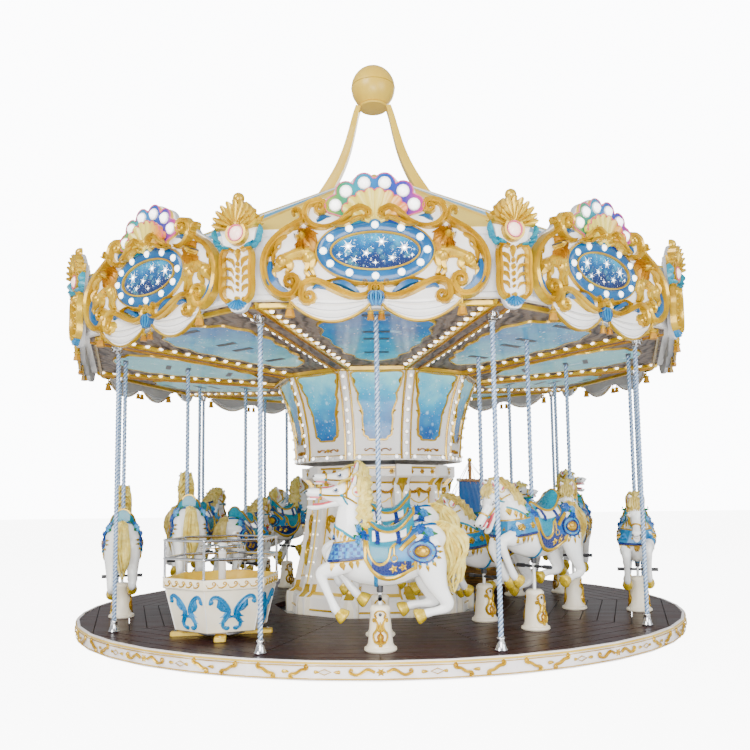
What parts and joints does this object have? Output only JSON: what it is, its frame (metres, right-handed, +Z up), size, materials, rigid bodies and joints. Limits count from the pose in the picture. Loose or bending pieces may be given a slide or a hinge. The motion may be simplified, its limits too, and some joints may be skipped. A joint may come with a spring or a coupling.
{
  "type": "fairground carousel",
  "caption": "Small round fairground carousel: turning platform under a scrolled crown, with rising horses, a spinning tub and a small sailing ship.",
  "frame": {"origin": "on the ground at the centre of rotation, under the hub of the ground frame", "axes": "+Z up along the axis of rotation; -Y towards the middle of the first bay, which the picture shows in front; +X to the right in the picture"},
  "size_m": [7.0006, 6.7268, 6.6885],
  "materials": {
    "deck_planks": "glossy varnish",
    "crown_gold": "gold paint on moulded glass fibre",
    "rod_enamel": "gloss enamel",
    "horse_white": "gloss enamel on moulded glass fibre",
    "frame_steel": "satin",
    "housing_cream": "gloss",
    "roof_enamel": "satin",
    "crown_white": "gloss",
    "ceiling_brown": "satin",
    "tub_cream": "gloss",
    "base_gold": "gloss",
    "sail_cloth": "matte weave"
  },
  "bodies": {
    "base": {"ground_frame": "frame_steel", "centre_housing": "housing_cream", "centre_mast": "frame_steel"},
    "turntable": {"deck_section_1": "deck_planks", "deck_section_2": "deck_planks", "deck_section_3": "deck_planks", "deck_section_4": "deck_planks", "deck_section_5": "deck_planks", "platform_skirt": "housing_cream", "tie_rod_1": "rod_enamel", "tie_rod_2": "rod_enamel", "tie_rod_3": "rod_enamel", "tie_rod_4": "rod_enamel", "tie_rod_5": "rod_enamel", "tie_rod_6": "rod_enamel", "tie_rod_7": "rod_enamel", "tie_rod_8": "rod_enamel", "tie_rod_9": "rod_enamel", "tie_rod_10": "rod_enamel", "ceiling": "ceiling_brown", "neck": "housing_cream", "crown_frame": "crown_white", "crown_panel_1": "crown_gold", "crown_panel_2": "crown_gold", "crown_panel_3": "crown_gold", "crown_panel_4": "crown_gold", "crown_panel_5": "crown_gold", "crown_panel_6": "crown_gold", "crown_panel_7": "crown_gold", "crown_panel_8": "crown_gold", "crown_panel_9": "crown_gold", "crown_panel_10": "crown_gold", "roof": "roof_enamel", "finial_ribs": "roof_enamel", "finial_ball": "roof_enamel", "tub_base": "base_gold", "ship_hull": "tub_cream", "ship_mast": "base_gold", "ship_sail": "sail_cloth"},
    "horse_01_body": {"horse_01": "horse_white"},
    "horse_02_body": {"horse_02": "horse_white"},
    "horse_03_body": {"horse_03": "horse_white"},
    "horse_04_body": {"horse_04": "horse_white"},
    "horse_05_body": {"horse_05": "horse_white"},
    "horse_06_body": {"horse_06": "horse_white"},
    "horse_07_body": {"horse_07": "horse_white"},
    "horse_08_body": {"horse_08": "horse_white"},
    "horse_09_body": {"horse_09": "horse_white"},
    "horse_10_body": {"horse_10": "horse_white"},
    "horse_11_body": {"horse_11": "horse_white"},
    "horse_12_body": {"horse_12": "horse_white"},
    "horse_13_body": {"horse_13": "horse_white"},
    "horse_14_body": {"horse_14": "horse_white"},
    "horse_15_body": {"horse_15": "horse_white"},
    "horse_16_body": {"horse_16": "horse_white"},
    "tub_body": {"tub": "tub_cream"}
  },
  "joints": [
    {"name": "turntable_spin", "type": "hinge", "parent": "base", "child": "turntable", "pos_m": [0, 0, 0], "axis": [0, 0, 1], "continuous": true},
    {"name": "horse_01_rise", "type": "slide", "parent": "turntable", "child": "horse_01_body", "axis": [0, 0, 1], "range_m": [-0.03, 0.17]},
    {"name": "horse_02_rise", "type": "slide", "parent": "turntable", "child": "horse_02_body", "axis": [0, 0, 1], "range_m": [-0.17, 0.03]},
    {"name": "horse_03_rise", "type": "slide", "parent": "turntable", "child": "horse_03_body", "axis": [0, 0, 1], "range_m": [-0.17, 0.03]},
    {"name": "horse_04_rise", "type": "slide", "parent": "turntable", "child": "horse_04_body", "axis": [0, 0, 1], "range_m": [-0.03, 0.17]},
    {"name": "horse_05_rise", "type": "slide", "parent": "turntable", "child": "horse_05_body", "axis": [0, 0, 1], "range_m": [-0.03, 0.17]},
    {"name": "horse_06_rise", "type": "slide", "parent": "turntable", "child": "horse_06_body", "axis": [0, 0, 1], "range_m": [-0.17, 0.03]},
    {"name": "horse_07_rise", "type": "slide", "parent": "turntable", "child": "horse_07_body", "axis": [0, 0, 1], "range_m": [-0.17, 0.03]},
    {"name": "horse_08_rise", "type": "slide", "parent": "turntable", "child": "horse_08_body", "axis": [0, 0, 1], "range_m": [-0.03, 0.17]},
    {"name": "horse_09_rise", "type": "slide", "parent": "turntable", "child": "horse_09_body", "axis": [0, 0, 1], "range_m": [-0.17, 0.03]},
    {"name": "horse_10_rise", "type": "slide", "parent": "turntable", "child": "horse_10_body", "axis": [0, 0, 1], "range_m": [-0.03, 0.17]},
    {"name": "horse_11_rise", "type": "slide", "parent": "turntable", "child": "horse_11_body", "axis": [0, 0, 1], "range_m": [-0.03, 0.17]},
    {"name": "horse_12_rise", "type": "slide", "parent": "turntable", "child": "horse_12_body", "axis": [0, 0, 1], "range_m": [-0.17, 0.03]},
    {"name": "horse_13_rise", "type": "slide", "parent": "turntable", "child": "horse_13_body", "axis": [0, 0, 1], "range_m": [-0.17, 0.03]},
    {"name": "horse_14_rise", "type": "slide", "parent": "turntable", "child": "horse_14_body", "axis": [0, 0, 1], "range_m": [-0.03, 0.17]},
    {"name": "horse_15_rise", "type": "slide", "parent": "turntable", "child": "horse_15_body", "axis": [0, 0, 1], "range_m": [-0.03, 0.17]},
    {"name": "horse_16_rise", "type": "slide", "parent": "turntable", "child": "horse_16_body", "axis": [0, 0, 1], "range_m": [-0.17, 0.03]},
    {"name": "tub_spin", "type": "hinge", "parent": "turntable", "child": "tub_body", "pos_m": [-1.4401, -1.9821, 0.215], "axis": [0, 0, 1], "continuous": true}
  ],
  "couplings": [
    {"joint": "horse_02_rise", "follows": "horse_01_rise", "ratio": -1},
    {"joint": "horse_03_rise", "follows": "horse_01_rise", "ratio": -1},
    {"joint": "horse_04_rise", "follows": "horse_01_rise", "ratio": 1},
    {"joint": "horse_05_rise", "follows": "horse_01_rise", "ratio": 1},
    {"joint": "horse_06_rise", "follows": "horse_01_rise", "ratio": -1},
    {"joint": "horse_07_rise", "follows": "horse_01_rise", "ratio": -1},
    {"joint": "horse_08_rise", "follows": "horse_01_rise", "ratio": 1},
    {"joint": "horse_09_rise", "follows": "horse_01_rise", "ratio": -1},
    {"joint": "horse_10_rise", "follows": "horse_01_rise", "ratio": 1},
    {"joint": "horse_11_rise", "follows": "horse_01_rise", "ratio": 1},
    {"joint": "horse_12_rise", "follows": "horse_01_rise", "ratio": -1},
    {"joint": "horse_13_rise", "follows": "horse_01_rise", "ratio": -1},
    {"joint": "horse_14_rise", "follows": "horse_01_rise", "ratio": 1},
    {"joint": "horse_15_rise", "follows": "horse_01_rise", "ratio": 1},
    {"joint": "horse_16_rise", "follows": "horse_01_rise", "ratio": -1}
  ]
}
